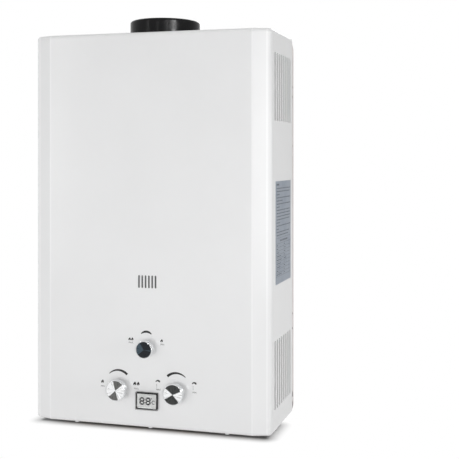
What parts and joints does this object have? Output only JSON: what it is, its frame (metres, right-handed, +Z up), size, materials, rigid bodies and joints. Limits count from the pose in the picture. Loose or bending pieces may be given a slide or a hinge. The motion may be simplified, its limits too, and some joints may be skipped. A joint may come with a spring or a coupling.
{
  "type": "tankless gas water heater",
  "caption": "Wall-hung flued gas water heater: white folded steel case with louvred sides, round flue collar, front control knobs, temperature display and bottom pipe stubs.",
  "frame": {"origin": "wall plane (rear face of the back plate) at mid width and mid height of the case", "axes": "+Z up, +Y into the wall, +X to the right of someone facing the heater; the front panel faces -Y"},
  "size_m": [0.4064, 0.1738, 0.6795],
  "materials": {
    "white_coat": "smooth white powder coat",
    "galvanised": "galvanised sheet with faint spangle",
    "steel": "bright zinc plated",
    "label_foil": "silver blue foil",
    "seal_rubber": "moulded rubber",
    "black_enamel": "glossy black enamel",
    "hood_steel": "heat blackened steel",
    "copper": "drawn copper",
    "brass": "forged brass",
    "burner_steel": "stainless burner sheet",
    "cast_aluminium": "die cast",
    "ceramic_white": "glazed insulator",
    "black_plastic": "moulded black",
    "lead_rubber": "silicone sleeved lead",
    "knob_plastic": "silver grey moulded",
    "knob_chrome": "radially spun chrome disc",
    "mica": "dark mica sheet",
    "dark_plastic": "dark moulded frame",
    "clear_window": "clear window",
    "display_panel": "pale display glass on its board",
    "pale_plastic": "pale grey moulded",
    "cell_steel": "plain sleeve"
  },
  "bodies": {
    "casing": {"front_cover": "white_coat", "back_plate": "galvanised", "hanging_bracket": "galvanised", "bottom_shelf": "galvanised", "case_screws": "steel", "rating_plate": "label_foil", "flue_gasket": "seal_rubber", "flue_collar": "black_enamel", "flue_hood": "hood_steel", "hood_posts": "hood_steel", "exchanger_jacket": "copper", "exchanger_fins": "copper", "exchanger_tubes": "copper", "jacket_coil": "copper", "cold_pipe": "copper", "hot_pipe": "copper", "pipe_unions": "brass", "burner_frame": "galvanised", "burner_bars": "burner_steel", "gas_manifold": "cast_aluminium", "gas_nozzles": "brass", "electrode_bracket": "galvanised", "igniter_electrode": "ceramic_white", "flame_sensor": "ceramic_white", "ignition_controller": "black_plastic", "ignition_leads": "lead_rubber", "overheat_thermostat": "black_plastic", "temperature_probe": "brass", "hot_outlet": "brass", "gas_inlet": "brass", "water_inlet": "brass", "connection_locknuts": "brass", "water_valve_body": "brass", "diaphragm": "seal_rubber", "diaphragm_cover": "brass", "housing_bolts": "steel", "gas_valve_body": "cast_aluminium", "solenoid_valve": "black_plastic", "microswitch": "black_plastic", "season_valve_body": "cast_aluminium", "gas_riser": "cast_aluminium", "vent_window": "mica", "display_bezel": "dark_plastic", "display_window": "clear_window", "display_board": "display_panel", "battery_box": "pale_plastic", "battery_cells": "cell_steel", "battery_contacts": "steel"},
    "gas_control": {"gas_knob": "knob_plastic", "gas_knob_face": "knob_chrome", "gas_spindle": "steel"},
    "water_control": {"water_knob": "knob_plastic", "water_knob_face": "knob_chrome", "water_spindle": "steel"},
    "season_control": {"season_knob": "knob_plastic", "season_knob_face": "knob_chrome", "season_spindle": "steel"},
    "battery_door": {"battery_lid": "pale_plastic"},
    "valve_rod": {"push_rod": "steel"},
    "switch_arm": {"switch_lever": "steel"}
  },
  "joints": [
    {"name": "gas_knob_turn", "type": "hinge", "parent": "casing", "child": "gas_control", "pos_m": [-0.0488, -0.156, -0.2568], "axis": [0, 1, 0], "range_deg": [-143, 17]},
    {"name": "water_knob_turn", "type": "hinge", "parent": "casing", "child": "water_control", "pos_m": [0.0488, -0.156, -0.2568], "axis": [0, 1, 0], "range_deg": [-143, 17]},
    {"name": "season_knob_turn", "type": "hinge", "parent": "casing", "child": "season_control", "pos_m": [0, -0.156, -0.189], "axis": [0, 1, 0], "range_deg": [-108, 42]},
    {"name": "battery_lid_swing", "type": "hinge", "parent": "casing", "child": "battery_door", "pos_m": [0.1424, -0.0495, -0.333], "axis": [0, 1, 0], "range_deg": [0, 100]},
    {"name": "push_rod_slide", "type": "slide", "parent": "casing", "child": "valve_rod", "axis": [-1, 0, 0], "range_m": [0, 0.003], "stiffness_N_per_m": 400},
    {"name": "switch_lever_swing", "type": "hinge", "parent": "casing", "child": "switch_arm", "pos_m": [-0.0083, -0.098, -0.2378], "axis": [0, 1, 0], "range_deg": [0, 13.3]}
  ],
  "couplings": [
    {"joint": "switch_lever_swing", "follows": "push_rod_slide", "rad_per_m": 76.667}
  ]
}
